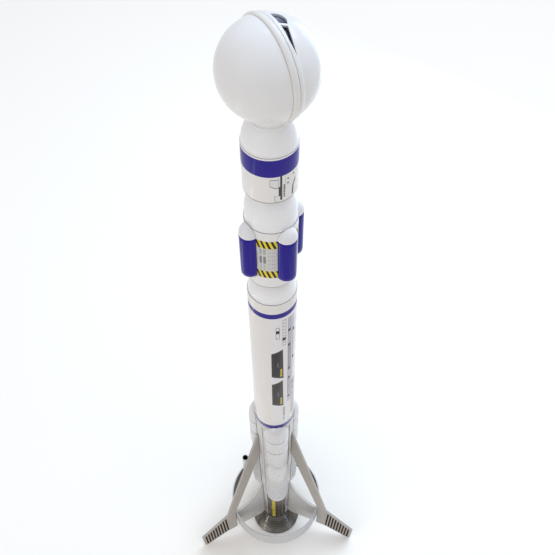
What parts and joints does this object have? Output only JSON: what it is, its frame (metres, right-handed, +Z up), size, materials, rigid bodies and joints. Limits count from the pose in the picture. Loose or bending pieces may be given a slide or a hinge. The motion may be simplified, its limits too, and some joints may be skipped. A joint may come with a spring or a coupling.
{
  "type": "model rocket",
  "caption": "Slender model rocket with a ball nose on a waisted stack of tubes and domes, four blue strap-on pods, outrigger legs joined by a ring, and a flared nozzle bell.",
  "frame": {"origin": "on the floor under the feet, on the rocket's own axis", "axes": "+Z up along the rocket; -Y is the front, midway between the two front legs; +X is to the right seen from the front"},
  "size_m": [0.2038, 0.1675, 0.7989],
  "materials": {
    "ball_plastic": "glossy white moulded plastic",
    "seam_plastic": "smooth cream-white moulded plastic",
    "window_dark": "glossy blue-black plastic",
    "dome_plastic": "glossy white moulded plastic",
    "printed_tube": "spiral-wound paper tube under a glossy printed wrap",
    "strap_pod_plastic": "glossy white formed plastic with a blue wrap",
    "base_pod_plastic": "satin silver-white formed plastic",
    "tail_shell": "satin silver shell with a striped dark wrap",
    "painted_board": "sealed board painted silver-white with dark slats on the feet",
    "painted_ring": "card ring painted silver-white",
    "bell_gunmetal": "glossy gunmetal plastic with fine turned ribs",
    "kraft_tube": "plain brown spiral-wound card",
    "plywood": "bare cut plywood",
    "spring_steel": "bare spring steel strip",
    "brass_wire": "bare brass wire",
    "plain_paper": "plain paper stuck down with glue",
    "canopy_nylon": "thin ripstop nylon, folded and rolled",
    "lug_paper": "white paper lug, grey in its bore"
  },
  "bodies": {
    "airframe": {"body_tube": "printed_tube", "cord_mount": "plain_paper", "parachute_pack": "canopy_nylon", "forward_centring_ring": "plywood", "aft_centring_ring": "plywood", "tail_plug_ring": "plywood", "motor_tube": "kraft_tube", "thrust_ring": "kraft_tube", "hook_band": "plain_paper", "tail_cone": "tail_shell", "nozzle_bell": "bell_gunmetal", "base_pod_upper_front": "base_pod_plastic", "base_pod_lower_front": "base_pod_plastic", "base_pod_upper_right": "base_pod_plastic", "base_pod_lower_right": "base_pod_plastic", "base_pod_upper_left": "base_pod_plastic", "base_pod_lower_left": "base_pod_plastic", "leg_left": "painted_board", "fin_left": "painted_board", "leg_right": "painted_board", "fin_right": "painted_board", "leg_rear": "painted_board", "fin_rear": "painted_board", "tail_ring": "painted_ring", "launch_lug": "lug_paper"},
    "upper_section": {"payload_tube": "printed_tube", "upper_adapter": "dome_plastic", "payload_bulkhead": "plywood", "core_tube": "printed_tube", "strap_pod_1": "strap_pod_plastic", "strap_pod_2": "strap_pod_plastic", "strap_pod_3": "strap_pod_plastic", "strap_pod_4": "strap_pod_plastic", "core_ring": "plywood", "lower_adapter": "dome_plastic", "screw_eye": "brass_wire"},
    "nose": {"ball_shell_left": "ball_plastic", "ball_shell_right": "ball_plastic", "seam_ring": "seam_plastic", "window_backing": "window_dark", "nose_neck": "dome_plastic", "nose_dome": "dome_plastic"},
    "hook": {"motor_hook": "spring_steel"}
  },
  "joints": [
    {"name": "upper_section_slide", "type": "slide", "parent": "airframe", "child": "upper_section", "axis": [0, 0, 1], "range_m": [0, 0.034]},
    {"name": "nose_slide", "type": "slide", "parent": "upper_section", "child": "nose", "axis": [0, 0, 1], "range_m": [0, 0.015]},
    {"name": "hook_flex", "type": "hinge", "parent": "airframe", "child": "hook", "pos_m": [0.01315, 0, 0.103], "axis": [0, -1, 0], "range_deg": [0, 1.8], "stiffness_Nm_per_rad": 4}
  ]
}
